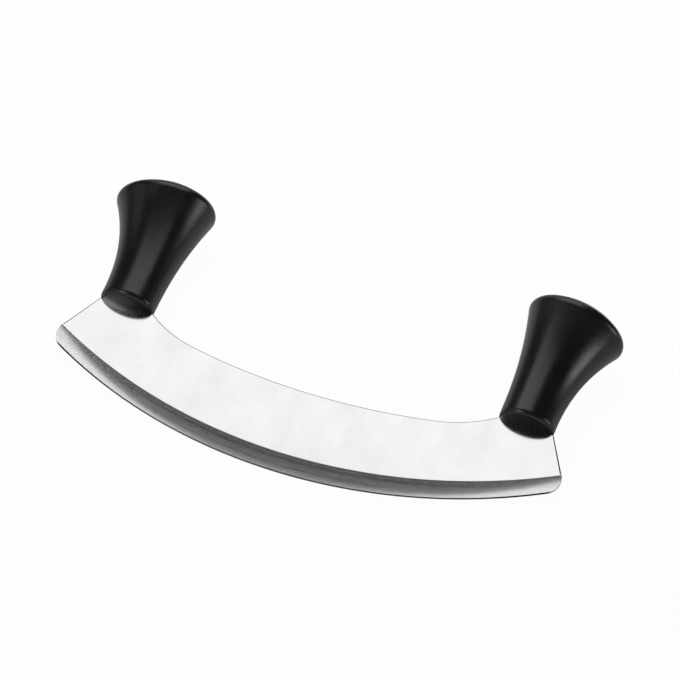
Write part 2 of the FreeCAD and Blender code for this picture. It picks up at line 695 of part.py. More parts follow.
def main():
    doc = FreeCAD.newDocument("RockingKnife")
    make_sheet(doc)
    blade = build_blade(doc)
    handles = []
    for sign, side in ((-1, "Left"), (1, "Right")):
        core = squeeze(doc, f"{side}CoreOval", build_core_blank(doc, side))
        grip = squeeze(doc, f"{side}GripOval", build_grip_blank(doc, side))
        handles.append((sign, (core, grip)))
    place_bodies(doc, blade, handles)
    pieces = [blade]
    for side, (_, (core_blank, grip_blank)) in zip(("Left", "Right"), handles):
        core = cut(doc, f"{side}Core", core_blank, blade)
        core.Label = f"{side.lower()}_handle_core"
        hollow = cut(doc, f"{side}GripHollow", grip_blank, core_blank)
        grip = cut(doc, f"{side}Grip", hollow, blade)
        grip.Label = f"{side.lower()}_handle_grip"
        pieces += [core, grip]
    doc.recompute()
    check(doc, pieces)
    os.makedirs("parts", exist_ok=True)
    for piece in pieces:
        piece.Shape.exportStep(f"parts/{piece.Label}.step")
        box = piece.Shape.optimalBoundingBox()
        print(f"{piece.Label}: {piece.Shape.Volume:.1f} mm3, z {box.ZMin:.3f} to {box.ZMax:.3f} mm")


main()
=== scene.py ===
import json
import math
import bmesh
import bpy
from mathutils import Matrix, Vector

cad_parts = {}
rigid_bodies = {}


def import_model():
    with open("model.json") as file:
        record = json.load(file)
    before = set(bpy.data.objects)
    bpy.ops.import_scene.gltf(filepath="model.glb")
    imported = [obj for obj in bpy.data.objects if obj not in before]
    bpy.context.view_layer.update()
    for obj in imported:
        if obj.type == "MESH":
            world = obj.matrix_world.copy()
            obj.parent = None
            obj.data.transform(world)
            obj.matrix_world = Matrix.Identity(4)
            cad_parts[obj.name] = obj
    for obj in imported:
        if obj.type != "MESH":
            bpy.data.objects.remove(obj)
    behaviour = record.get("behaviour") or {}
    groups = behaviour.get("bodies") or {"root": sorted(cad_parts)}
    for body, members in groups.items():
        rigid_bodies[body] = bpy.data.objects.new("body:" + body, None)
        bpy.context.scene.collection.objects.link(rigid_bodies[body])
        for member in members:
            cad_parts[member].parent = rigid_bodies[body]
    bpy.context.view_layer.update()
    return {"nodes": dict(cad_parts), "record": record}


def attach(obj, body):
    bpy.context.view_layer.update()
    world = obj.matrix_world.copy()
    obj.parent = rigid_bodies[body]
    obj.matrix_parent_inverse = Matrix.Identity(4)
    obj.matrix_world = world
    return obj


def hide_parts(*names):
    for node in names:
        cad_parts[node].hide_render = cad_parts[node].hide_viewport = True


# A two-handled rocking knife lying on its back on a pale table: a satin steel crescent with a
# hollow-ground bevel, and two flared black knobs moulded over the tangs at its ends.

for leftover in list(bpy.data.objects):
    bpy.data.objects.remove(leftover)
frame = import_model()

MM = 0.001

# The blade, drawn flat in millimetres: x runs along it and y from the cutting edge to the handles.
THICKNESS = 1.6
BLADE_HEIGHT = 42.6
EDGE_RADIUS = 233.6
SPINE_RADIUS = 298.0
SPINE_BLEND = 60.5
END_ANGLE = math.radians(28.4)
TIP_RADIUS = 8.5
BEVEL_WIDTH = 9.6
BEVEL_RADIUS = 237.5
GRIND_RADIUS = 110.0
BEVEL_EDGE = 0.4
EDGE_ANGLE = math.radians(18.0)
EDGE_LAND = 0.1
EDGE_BREAK = 0.45          # rounding along the stamped edges
TIP_WEAR = 0.6             # share by which it grows at the tips
TIP_REACH = 26.0           # length of the worn ends
CORNER_FADE = 0.4          # length over which it starts at the bevel's corners
HANDLE_SPACING = 186.7
HANDLE_HEIGHT = 58.6
TANG_WIDTH = 11.0
TANG_LENGTH = 34.0
TANG_CORNER = 2.0
SHOULDER_DEPTH = 1.5
SHOULDER_INSET = 1.7
HOLE_RADIUS = 2.5
HOLE_MARGIN = 9.0
HOLE_PITCH = 12.0
HOLES = 2

# A handle, with heights up its axis from the rim of its neck.
BORE_RADIUS = 8.4
NECK_RADIUS = 12.6
HANDLE_OVAL = 0.84         # thickness across the blade, over the width along it
NECK_STRAIGHT = 2.6
DOME_DROP = 1.5
RIM_ROUND = 2.2
HEAD_RADIUS = 10.2
HEAD_HEIGHT = 3.0
CORE_TOP = 36.9
CORE_CHAMFER = 1.0
LOCK_STARTS = (9.0, 21.0)
LOCK_WIDTH = 3.0
LOCK_DEPTH = 1.0
FLARE_LENGTH = 52.5
FLARE_GROWTH = 10.05
FLARE_POWER = 2.22
BEND = math.radians(8.2)
CROWN_ROLL = 3.0
CROWN_HEIGHT = 10.8
SEAM_HEIGHT = 0.05         # parting line left by the two halves of the mould
SEAM_HALF_ANGLE = math.radians(0.7)
SEAM_STOP = 4.0            # length below the crown's rolled rim where it ends
SEAM_FADE = 8.0            # length over which it runs out

# How finely the meshes are divided, and where they look sharp.
EDGE_STEPS = 96            # along half of the cutting edge
TIP_STEPS = 14
BAND_ROWS = 12             # across the ground band
HONE_STEPS = 20            # halvings that find where the hone starts
LEAST_HONE = 0.002         # share of the band that the hone takes at least
MOST_HONE = 0.5            # and at most
END_SHARES = (0.02, 0.06, 0.12, 0.5, 1.0)    # points up the slanted end, closest at the worn corner
SPINE_STEPS = 60
BLEND_STEPS = 24
CORNER_STEPS = 6
HOLE_STEPS = 32
FLARE_ROWS = 64
ROUND_ROWS = 8
DOME_ROWS = 20
SEGMENTS = 144             # round a handle
LEAST_RING = 0.05          # radius below which a ring is one point on the axis
LEAST_MITRE = 0.5          # keeps offsets short at sharp corners
BLADE_CREASE = math.radians(50)    # edges steeper than this are left sharp
GRIP_CREASE = math.radians(35)

# Where the photograph was taken from.
CAMERA_AZIMUTH = math.radians(18.533)
CAMERA_ELEVATION = math.radians(46.333)
CAMERA_ROLL = math.radians(2.981)
CAMERA_DISTANCE = 1.556
CAMERA_AIM = Vector((0.00706, -0.00382, 0.02945))
FOCAL_PIXELS = 3600.0
IMAGE_PIXELS = 680.0
SENSOR_WIDTH = 36.0


def mount(name):
    return [entry for entry in frame["record"]["mounts"] if entry["name"] == name][0]


def blade_frame():
    """Matrix from the flat drawing, in millimetres, to where the knife lies on the table."""
    edge = mount("cutting_edge")
    along = -Vector(edge["axis"]).normalized()
    front = Vector(mount("blade_face")["axis"]).normalized()
    axes = Matrix((Vector((1, 0, 0)), along, front)).transposed().to_4x4()
    return Matrix.Translation(edge["pos_m"]) @ axes @ Matrix.Scale(MM, 4)


FLAT_TO_TABLE = blade_frame()


def polar(centre, radius, angle):
    return Vector((centre[0] + radius * math.cos(angle), centre[1] + radius * math.sin(angle)))


def arc(centre, start, end, steps):
    """Points from start to end round a centre, the short way, with both ends."""
    radius = (Vector(start) - Vector(centre)).length
    first, last = [math.atan2(p[1] - centre[1], p[0] - centre[0]) for p in (start, end)]
    turn = (last - first + math.pi) % (2 * math.pi) - math.pi
    return [polar(centre, radius, first + turn * step / steps) for step in range(steps + 1)]


def along_ray(origin, direction, centre, radius):
    """Where a ray leaves a circle."""
    reach = origin - centre
    half = reach.dot(direction)
    return origin + direction * (math.sqrt(half**2 - reach.dot(reach) + radius**2) - half)


EDGE_CENTRE = Vector((0.0, EDGE_RADIUS))
BEVEL_CENTRE = Vector((0.0, BEVEL_WIDTH + BEVEL_RADIUS))
SPINE_CENTRE = Vector((0.0, BLADE_HEIGHT + SPINE_RADIUS))
HALF_SPACING = HANDLE_SPACING / 2


def grind_height(point):
    """Half the thickness that the grinding wheel leaves at a point of the flat drawing."""
    across = (point - BEVEL_CENTRE).length - BEVEL_RADIUS
    drop = (THICKNESS - BEVEL_EDGE) / 2
    chord = math.hypot(BEVEL_WIDTH, drop)
    rise = math.sqrt(GRIND_RADIUS**2 - chord**2 / 4)
    centre_across = BEVEL_WIDTH / 2 + rise * drop / chord
    centre_height = (THICKNESS + BEVEL_EDGE) / 4 + rise * BEVEL_WIDTH / chord
    return centre_height - math.sqrt(GRIND_RADIUS**2 - (across - centre_across) ** 2)


def hone_height(point):
    """Half the thickness that honing leaves at a point of the flat drawing."""
    inside = EDGE_RADIUS - (point - EDGE_CENTRE).length
    return EDGE_LAND / 2 + max(inside, 0.0) * math.tan(EDGE_ANGLE)


def half_thickness(point):
    return min(THICKNESS / 2, grind_height(point), hone_height(point))


def tip_outline():
    """Half of the ground band's two sides: along the cutting edge and tip, and along the upper line."""
    down = Vector((math.sin(END_ANGLE), -math.cos(END_ANGLE)))
    inward = Vector((-math.cos(END_ANGLE), -math.sin(END_ANGLE)))
    rim = Vector((HALF_SPACING + NECK_RADIUS, HANDLE_HEIGHT))
    centre = along_ray(rim + inward * TIP_RADIUS, down, EDGE_CENTRE, EDGE_RADIUS - TIP_RADIUS)
    on_edge = EDGE_CENTRE + (centre - EDGE_CENTRE) * (EDGE_RADIUS / (EDGE_RADIUS - TIP_RADIUS))
    on_end = centre - inward * TIP_RADIUS
    corner = along_ray(rim, down, BEVEL_CENTRE, BEVEL_RADIUS)
    foot = BEVEL_CENTRE + (on_edge - BEVEL_CENTRE).normalized() * BEVEL_RADIUS
    bottom, line = Vector((0.0, 0.0)), Vector((0.0, BEVEL_WIDTH))
    outer = arc(EDGE_CENTRE, bottom, on_edge, EDGE_STEPS) + arc(centre, on_edge, on_end, TIP_STEPS)[1:]
    inner = arc(BEVEL_CENTRE, line, foot, EDGE_STEPS) + arc(BEVEL_CENTRE, foot, corner, TIP_STEPS)[1:]
    outer[-1] = corner
    return outer, inner


def blend_outline(end):
    """Hollow curve from a handle back to the spine's arc."""
    to_end = end - SPINE_CENTRE
    ahead = to_end.normalized()
    reach = SPINE_RADIUS - SPINE_BLEND
    along = (to_end.length_squared + reach**2 - SPINE_BLEND**2) / (2 * to_end.length)
    aside = math.sqrt(reach**2 - along**2)
    centre = SPINE_CENTRE + ahead * along + Vector((ahead.y, -ahead.x)) * aside
    on_spine = SPINE_CENTRE + (centre - SPINE_CENTRE) * (SPINE_RADIUS / reach)
    return arc(centre, end, on_spine, BLEND_STEPS)


def end_outline(corner):
    """Right end of the blade from the bevel's corner, round the tang and along the spine to the middle."""
    shoulder = HANDLE_HEIGHT + SHOULDER_DEPTH
    top = HANDLE_HEIGHT + TANG_LENGTH
    half = TANG_WIDTH / 2
    outer_end = Vector((HALF_SPACING + NECK_RADIUS - SHOULDER_DEPTH * math.tan(END_ANGLE), shoulder))
    inner_end = Vector((HALF_SPACING - NECK_RADIUS + SHOULDER_INSET, shoulder))
    points = [corner.lerp(outer_end, part) for part in END_SHARES]
    points.append(Vector((HALF_SPACING + half, shoulder)))
    for side, turn in ((1, 0.0), (-1, math.pi / 2)):
        centre = (HALF_SPACING + side * (half - TANG_CORNER), top - TANG_CORNER)
        for step in range(CORNER_STEPS + 1):
            points.append(polar(centre, TANG_CORNER, turn + math.pi / 2 * step / CORNER_STEPS))
    points.append(Vector((HALF_SPACING - half, shoulder)))
    blend = blend_outline(inner_end)
    spine = arc(SPINE_CENTRE, blend[-1], Vector((0.0, BLADE_HEIGHT)), SPINE_STEPS)
    return points + blend + spine[1:]


def mirrored(points):
    return [Vector((-point.x, point.y)) for point in points]


def outward(points):
    """Directions out of an open run of outline points, lengthened at corners to keep the offset even."""
    normals = []
    for index, point in enumerate(points):
        before = points[index - 1] if index else point
        after = points[index + 1] if index + 1 < len(points) else point
        sides = [b - a for a, b in ((before, point), (point, after)) if (b - a).length > 0]
        across = [Vector((side.y, -side.x)).normalized() for side in sides]
        middle = sum(across, Vector((0.0, 0.0))).normalized()
        normals.append(middle / max(middle.dot(across[0]), LEAST_MITRE))
    return normals


class Shell:
    """One face of the blade: rows of points joined by quads, in the flat drawing."""

    def __init__(self):
        self.mesh = bmesh.new()

    def row(self, points, heights):
        return [self.mesh.verts.new((p.x, p.y, z)) for p, z in zip(points, heights)]

    def strip(self, first, second, material):
        """Quads between two rows; ends that share a point become triangles."""
        for a, b, c, d in zip(first, first[1:], second[1:], second):
            corners = list(dict.fromkeys((a, b, c, d)))
            self.mesh.faces.new(corners).material_index = material


FACE, GROUND, HONED, STAMPED = range(4)


def hone_line(edge, line):
    """Point between the cutting edge and the upper line where honing meets the hollow grind."""
    near, far = LEAST_HONE, MOST_HONE
    for _ in range(HONE_STEPS):
        middle = (near + far) / 2
        point = edge.lerp(line, middle)
        if hone_height(point) < grind_height(point):
            near = middle
        else:
            far = middle
    return edge.lerp(line, near)


def ground_band(shell, outer, inner):
    """Hollow-ground band and honed edge; gives its rows along the cutting edge and the upper line."""
    pairs = list(zip(outer, inner))[1:-1]
    honed = [hone_line(edge, line) for edge, line in pairs]
    lines = [[edge for edge, _ in pairs]]
    for row in range(BAND_ROWS + 1):
        share = row / BAND_ROWS
        lines.append([start.lerp(line, share) for start, (_, line) in zip(honed, pairs)])
    first = shell.mesh.verts.new((*outer[0], half_thickness(outer[0])))
    last = shell.mesh.verts.new((*outer[-1], half_thickness(outer[-1])))
    rows = []
    for line in lines:
        heights = [half_thickness(point) for point in line]
        rows.append([first] + shell.row(line, heights) + [last])
    shell.strip(rows[0], rows[1], HONED)
    for below, above in zip(rows[1:], rows[2:]):
        shell.strip(below, above, GROUND)
    return rows[0], rows[-1]


def break_size(point, corners):
    """Rounding of the stamped edge at a point: none at the band's corners, and most just above them."""
    away = min((point - corner).length for corner in corners)
    worn = 1.0 + TIP_WEAR * max(1.0 - away / TIP_REACH, 0.0)
    return EDGE_BREAK * worn * min(away / CORNER_FADE, 1.0)


def broken_edge(shell, points, start, finish):
    """Rounded stamped edge from one corner of the band to the other; gives its face row and wall row."""
    corners = [Vector(end.co[:2]) for end in (start, finish)]
    normals = outward(corners[:1] + points + corners[1:])[1:-1]
    sizes = [break_size(point, corners) for point in points]
    rows = []
    for turn in (0.0, math.pi / 4, math.pi / 2):
        inset = 1 - math.sin(turn)
        drop = 1 - math.cos(turn)
        line = [p - n * size * inset for p, n, size in zip(points, normals, sizes)]
        heights = [THICKNESS / 2 - drop * size for size in sizes]
        rows.append([start] + shell.row(line, heights) + [finish])
    for upper, lower in zip(rows, rows[1:]):
        shell.strip(lower, upper, STAMPED)
    return rows[0], rows[-1]


def tang_holes(shell):
    """Rims of the holes that the handles' plastic fills."""
    rims = []
    for side in (-1, 1):
        for index in range(HOLES):
            height = HANDLE_HEIGHT + TANG_LENGTH - HOLE_MARGIN - index * HOLE_PITCH
            turns = [2 * math.pi * step / HOLE_STEPS for step in range(HOLE_STEPS)]
            points = [polar((side * HALF_SPACING, height), HOLE_RADIUS, turn) for turn in turns]
            rims.append(shell.row(points, [THICKNESS / 2] * HOLE_STEPS))
    return rims


def fill_face(shell, loop, holes):
    """Flat face inside the upper line of the band and the stamped edge, round the tangs' holes."""
    edges = []
    for ring in [loop] + holes:
        for a, b in zip(ring, ring[1:] + ring[:1]):
            edges.append(shell.mesh.edges.get((a, b)) or shell.mesh.edges.new((a, b)))
    filled = bmesh.ops.triangle_fill(shell.mesh, use_beauty=True, use_dissolve=False, edges=edges)
    for face in [item for item in filled["geom"] if isinstance(item, bmesh.types.BMFace)]:
        face.material_index = FACE


def close_blade(shell, outline, holes):
    """Copies the finished side to the back and joins the two round the outline and the holes."""
    front = list(shell.mesh.verts)
    everything = list(shell.mesh.faces) + list(shell.mesh.edges) + front
    copied = bmesh.ops.duplicate(shell.mesh, geom=everything)
    behind = copied["vert_map"]
    for vert in front:
        behind[vert].co.z = -vert.co.z
    for ring in [outline] + holes:
        for a, b in zip(ring, ring[1:] + ring[:1]):
            shell.mesh.faces.new((a, behind[a], behind[b], b)).material_index = STAMPED
    bmesh.ops.recalc_face_normals(shell.mesh, faces=shell.mesh.faces)


def finish_mesh(name, mesh, matrix, sharp_angle):
    """Object from a drawn mesh, laid on the table, smooth up to an angle within each finish."""
    data = bpy.data.meshes.new(name)
    mesh.transform(matrix)
    bmesh.ops.recalc_face_normals(mesh, faces=mesh.faces)
    for face in mesh.faces:
        face.smooth = True
    for edge in mesh.edges:
        finishes = {face.material_index for face in edge.link_faces}
        edge.smooth = len(finishes) == 1 and edge.calc_face_angle(0.0) < sharp_angle
    mesh.to_mesh(data)
    mesh.free()
    piece = bpy.data.objects.new(name, data)
    bpy.context.scene.collection.objects.link(piece)
    return piece


def build_blade():
    """Blade with its ground band, rounded stamped edges and the tangs' holes, the same on both sides."""
    shell = Shell()
    right_outer, right_inner = tip_outline()
    outer = mirrored(right_outer[:0:-1]) + right_outer
    inner = mirrored(right_inner[:0:-1]) + right_inner
    right_end = end_outline(right_outer[-1])
    around = right_end + mirrored(right_end[-2::-1])
    edge_row, line_row = ground_band(shell, outer, inner)
    face_row, wall_row = broken_edge(shell, around, edge_row[-1], edge_row[0])
    holes = tang_holes(shell)
    fill_face(shell, line_row + face_row[1:-1], holes)
    close_blade(shell, edge_row + wall_row[1:-1], holes)
    return finish_mesh("dressed_blade", shell.mesh, FLAT_TO_TABLE, BLADE_CREASE)


def hollow_rows():
    """Rings of the hollow that the core fills, from its top down to the core's head."""
    rows = [(CORE_TOP, 0.0, False), (CORE_TOP, BORE_RADIUS - CORE_CHAMFER, False)]
    rows.append((CORE_TOP - CORE_CHAMFER, BORE_RADIUS, False))
    floor = BORE_RADIUS - LOCK_DEPTH
    for low in reversed(LOCK_STARTS):
        high = low + LOCK_WIDTH
        rows += [(high, BORE_RADIUS, False), (high, floor, False)]
        rows += [(low, floor, False), (low, BORE_RADIUS, False)]
    return rows + [(HEAD_HEIGHT, BORE_RADIUS, False), (HEAD_HEIGHT, HEAD_RADIUS, False)]


def rim_rows():
    """Rings of the domed lower end, out from the core's head, and of its rounded rim."""
    dome_centre = (NECK_RADIUS**2 - DOME_DROP**2) / (2 * DOME_DROP)
    dome_radius = dome_centre + DOME_DROP
    inset = NECK_RADIUS - RIM_ROUND
    rim_height = dome_centre - math.sqrt((dome_radius - RIM_ROUND) ** 2 - inset**2)
    lean = math.asin(inset / (dome_radius - RIM_ROUND))
    head_lean = math.asin(HEAD_RADIUS / dome_radius)
    rows = []
    for step in range(ROUND_ROWS + 1):
        turn = head_lean * (1 - step / ROUND_ROWS) + lean * step / ROUND_ROWS
        rows.append((dome_centre - dome_radius * math.cos(turn), dome_radius * math.sin(turn), False))
    for step in range(1, ROUND_ROWS + 1):
        turn = lean + (math.pi / 2 - lean) * step / ROUND_ROWS
        rows.append((rim_height - RIM_ROUND * math.cos(turn), inset + RIM_ROUND * math.sin(turn), False))
    return rows


def flare_rows():
    """Rings of the flare, up the bent centreline."""
    rows = []
    for step in range(FLARE_ROWS + 1):
        way = step / FLARE_ROWS
        radius = NECK_RADIUS + FLARE_GROWTH * way**FLARE_POWER
        rows.append((NECK_STRAIGHT + FLARE_LENGTH * way, radius, True))
    return rows


def crown_rows():
    """Rings of the rolled rim and the low dome that close a grip."""
    end = NECK_STRAIGHT + FLARE_LENGTH
    slope = math.atan(FLARE_GROWTH * FLARE_POWER / FLARE_LENGTH)
    roll_radius = NECK_RADIUS + FLARE_GROWTH - CROWN_ROLL * math.cos(slope)
    roll_height = CROWN_ROLL * math.sin(slope)
    rise = CROWN_HEIGHT - roll_height - CROWN_ROLL
    below = (roll_radius**2 - rise**2) / (2 * rise)
    meet = math.atan2(below, roll_radius)
    big = math.hypot(roll_radius, below) + CROWN_ROLL
    rows = []
    for step in range(1, ROUND_ROWS * 2 + 1):
        turn = -slope + (meet + slope) * step / (ROUND_ROWS * 2)
        height = roll_height + CROWN_ROLL * math.sin(turn)
        rows.append((end + height, roll_radius + CROWN_ROLL * math.cos(turn), True))
    for step in range(1, DOME_ROWS + 1):
        turn = meet + (math.pi / 2 - meet) * step / DOME_ROWS
        rows.append((end + roll_height - below + big * math.sin(turn), big * math.cos(turn), True))
    return rows


def ring_rows():
    """Rings of a grip: height up its axis, radius, and whether the ring follows the bent centreline."""
    return hollow_rows() + rim_rows() + flare_rows() + crown_rows()


def centreline(height):
    """Sideways shift, height and lean of the bent centreline at a length along it."""
    radius = FLARE_LENGTH / BEND
    lean = min(max((height - NECK_STRAIGHT) / FLARE_LENGTH, 0.0), 1.0) * BEND
    beyond = max(height - NECK_STRAIGHT - FLARE_LENGTH, 0.0)
    aside = radius * (1 - math.cos(lean)) + beyond * math.sin(lean)
    up = min(height, NECK_STRAIGHT) + radius * math.sin(lean) + beyond * math.cos(lean)
    return aside, up, lean


def ring_turns():
    """Angles round a grip, with one close to each side of both parting lines."""
    turns = [2 * math.pi * step / SEGMENTS for step in range(SEGMENTS)]
    for seam in (0.0, math.pi):
        turns += [(seam + side * SEAM_HALF_ANGLE) % (2 * math.pi) for side in (-1, 1)]
    return sorted(turns)


def seam_rise(turn, height):
    """Height of the parting line at an angle round a grip and a height up it."""
    if abs(math.sin(turn)) > math.sin(SEAM_HALF_ANGLE) / 2:
        return 0.0
    left = NECK_STRAIGHT + FLARE_LENGTH - height
    return SEAM_HEIGHT * min(max((left - SEAM_STOP) / SEAM_FADE, 0.0), 1.0)


def grip_ring(mesh, turns, height, radius, bent):
    """One ring of a grip, or one point taken for all its turns where it closes on the axis."""
    aside, up, lean = centreline(height) if bent else (0.0, height, 0.0)
    if radius < LEAST_RING:
        return [mesh.verts.new((aside, up, 0.0))] * len(turns)
    ring = []
    for turn in turns:
        reach = radius + (seam_rise(turn, height) if bent else 0.0)
        across = reach * math.cos(turn)
        deep = reach * math.sin(turn) * HANDLE_OVAL
        place = (aside + across * math.cos(lean), up - across * math.sin(lean), deep)
        ring.append(mesh.verts.new(place))
    return ring


def build_grip(name, side):
    """Flared oval knob with its hollow for the core, bent away from the other one."""
    mesh = bmesh.new()
    turns = ring_turns()
    rings = [grip_ring(mesh, turns, *row) for row in ring_rows()]
    for lower, upper in zip(rings, rings[1:]):
        for index in range(len(turns)):
            after = (index + 1) % len(turns)
            corners = dict.fromkeys((lower[index], lower[after], upper[after], upper[index]))
            mesh.faces.new(list(corners))
    place = Matrix.Translation((side * HALF_SPACING, HANDLE_HEIGHT, 0.0))
    turned = Matrix.Rotation(0.0 if side > 0 else math.pi, 4, "Y")
    return finish_mesh(name, mesh, FLAT_TO_TABLE @ place @ turned, GRIP_CREASE)


# Marks in the surfaces: how many there are in a millimetre along the blade, up it and through it.
SATIN_LINES = (0.125, 2.5, 2.5)
SATIN_CLOUDS = (0.06, 0.03, 0.0)
HONE_MARKS = (4.0, 4.0, 4.0)
DRAG_MARKS = (3.5, 3.5, 0.7)
FLOW_LINES = (1.1, 0.066, 1.1)
GLOSS_CLOUDS = (0.09, 0.09, 0.09)
SPARK_GRAIN = (5.5, 5.5, 5.5)
NOISE_ROUGHNESS = 0.55

# The grinding wheel's marks: how many in a millimetre along the bevel and across it, and their slant.
WHEEL_SCRATCHES = (250.0, 0.3, 0.0)
WHEEL_STREAKS = (2.4, 0.3, 0.0)
WHEEL_SLANT = 0.35

# Depth of the marks in metres, and the share of it that shows.
BRUSHING_BUMP = (0.00001, 0.12)
DRAG_BUMP = (0.00002, 0.3)
GRAIN_BUMP = (0.00003, 0.35)
FLOW_BUMP = (0.00006, 0.6)

# Levels of the marks between which a surface goes from one tone to the other.
NARROW = (0.35, 0.65)
USUAL = (0.3, 0.7)
WIDE = (0.25, 0.75)
SCRATCHED = (0.5, 0.64)

# Those two tones of each surface, as colour, grey or roughness.
SATIN_COLOURS = ((0.56, 0.56, 0.565), (0.64, 0.64, 0.638))
SATIN_ROUGHNESS = (0.1, 0.16)
SATIN_CLOUDING = 0.7       # share of the clouds, with the brushed lines as the rest
GROUND_COLOURS = ((0.6, 0.6, 0.605), (0.65, 0.65, 0.65))
GROUND_ROUGHNESS = (0.09, 0.42)
# The honed edge's near-black tones are painted shade, for the dark line along the cutting edge.
HONED_PAINTED_SHADE_COLOURS = ((0.04, 0.04, 0.041), (0.07, 0.07, 0.07))
HONED_ROUGHNESS = (0.2, 0.32)
STAMPED_PAINTED_SHADE_GREYS = (0.135, 0.03)      # painted shade along the spine, and darker painted shade at the slanted ends
STAMPED_ROUGHNESS = (0.3, 0.42)
DRAG_CONTRAST = 0.5
PLASTIC_COLOURS = ((0.004, 0.004, 0.0045), (0.008, 0.008, 0.0085))
PLASTIC_ROUGHNESS = (0.22, 0.3)
PLASTIC_CLOUDING = 0.6     # share of the clouds, with the flow lines as the rest
PLASTIC_IOR = 1.5


class Nodes:
    """Short ways to lay out one material's or the world's nodes."""

    def __init__(self, tree):
        self.tree = tree
        tree.nodes.clear()

    def add(self, kind, **settings):
        node = self.tree.nodes.new(kind)
        for name, value in settings.items():
            if name in node.inputs:
                node.inputs[name].default_value = value
            else:
                setattr(node, name, value)
        return node

    def link(self, source, target):
        self.tree.links.new(source, target)

    def feed(self, node, values):
        """Gives a node's inputs, in their order, numbers or what other nodes make."""
        for socket, value in zip(node.inputs, values):
            if isinstance(value, bpy.types.NodeSocket):
                self.link(value, socket)
            else:
                socket.default_value = value

    def math(self, operation, *values):
        node = self.add("ShaderNodeMath", operation=operation)
        self.feed(node, values)
        return node.outputs[0]

    def vector(self, operation, *values):
        """Number that a vector operation gives, such as a length."""
        node = self.add("ShaderNodeVectorMath", operation=operation)
        self.feed(node, values)
        return node.outputs["Value"]

    def combine(self, x, y, z=0.0):
        node = self.add("ShaderNodeCombineXYZ")
        self.feed(node, (x, y, z))
        return node.outputs[0]

    def mix(self, first, second, share):
        """Two values added, with a share of the second and the rest of the first."""
        rest = self.math("MULTIPLY", first, 1 - share)
        return self.math("ADD", rest, self.math("MULTIPLY", second, share))

    def noise(self, place, per_mm, detail):
        """Noise with so many marks in a millimetre along each axis of a place."""
        stretch = self.add("ShaderNodeVectorMath", operation="MULTIPLY")
        self.feed(stretch, (place, per_mm))
        node = self.add("ShaderNodeTexNoise", Scale=1.0, Detail=detail, Roughness=NOISE_ROUGHNESS)
        self.link(stretch.outputs["Vector"], node.inputs["Vector"])
        return node.outputs["Fac"]

    def spread(self, value, ends, results):
        """Maps a value between two ends to between two results, no further."""
        node = self.add("ShaderNodeMapRange")
        self.feed(node, (value, *ends, *results))
        return node.outputs[0]

    def blend(self, value, ends, colours):
        """Colour between two that a value picks on its way from one end to the other."""
        node = self.add("ShaderNodeValToRGB")
        for stop, position, colour in zip(node.color_ramp.elements, ends, colours):
            stop.position = position
            stop.color = (*colour, 1.0)
        self.link(value, node.inputs["Fac"])
        return node.outputs["Color"]

    def bump(self, height, depth, strength, normal=None):
        node = self.add("ShaderNodeBump", Distance=depth, Strength=strength)
        self.link(height, node.inputs["Height"])
        if normal:
            self.link(normal, node.inputs["Normal"])
        return node.outputs["Normal"]


def new_material(name):
    material = bpy.data.materials.new(name)
    material.use_nodes = True
    nodes = Nodes(material.node_tree)
    output = nodes.add("ShaderNodeOutputMaterial")
    shader = nodes.add("ShaderNodeBsdfPrincipled")
    nodes.link(shader.outputs[0], output.inputs["Surface"])
    return material, nodes, shader


def flat_place(nodes):
    """Surface position in the flat drawing, in millimetres, whole and as its three parts."""
    place = nodes.add("ShaderNodeTexCoord").outputs["Object"]
    inverse = FLAT_TO_TABLE.inverted()
    parts = []
    for row in inverse[:3]:
        parts.append(nodes.math("ADD", nodes.vector("DOT_PRODUCT", place, row[:3]), row[3]))
    return nodes.combine(*parts), parts


def polar_place(nodes, parts, centre):
    """Length along a circle through the drawing's origin, and distance from its centre, in millimetres."""
    from_x = parts[0]
    from_y = nodes.math("SUBTRACT", parts[1], centre.y)
    away = nodes.combine(from_x, from_y)
    angle = nodes.math("ARCTAN2", from_x, nodes.math("MULTIPLY", from_y, -1.0))
    return nodes.math("MULTIPLY", angle, centre.y), nodes.vector("LENGTH", away)


def steel_face():
    """Fine satin sheet, brushed along the blade, with faint clouding."""
    material, nodes, shader = new_material("satin_steel")
    place, _ = flat_place(nodes)
    lines = nodes.noise(place, SATIN_LINES, detail=4.0)
    clouds = nodes.noise(place, SATIN_CLOUDS, detail=3.0)
    shade = nodes.mix(lines, clouds, SATIN_CLOUDING)
    nodes.link(nodes.blend(shade, NARROW, SATIN_COLOURS), shader.inputs["Base Color"])
    nodes.link(nodes.spread(shade, WIDE, SATIN_ROUGHNESS), shader.inputs["Roughness"])
    nodes.link(nodes.bump(lines, *BRUSHING_BUMP), shader.inputs["Normal"])
    shader.inputs["Metallic"].default_value = 1.0
    return material


def ground_steel():
    """Hollow-ground band: polished between the wheel's fine scratches, which cross it a little aslant."""
    material, nodes, shader = new_material("ground_steel")
    _, parts = flat_place(nodes)
    along, across = polar_place(nodes, parts, BEVEL_CENTRE)
    slanted = nodes.math("ADD", along, nodes.math("MULTIPLY", across, WHEEL_SLANT))
    wheel_place = nodes.combine(slanted, across)
    scratches = nodes.noise(wheel_place, WHEEL_SCRATCHES, detail=1.0)
    streaks = nodes.noise(wheel_place, WHEEL_STREAKS, detail=3.0)
    nodes.link(nodes.blend(streaks, USUAL, GROUND_COLOURS), shader.inputs["Base Color"])
    nodes.link(nodes.spread(scratches, SCRATCHED, GROUND_ROUGHNESS), shader.inputs["Roughness"])
    shader.inputs["Metallic"].default_value = 1.0
    return material


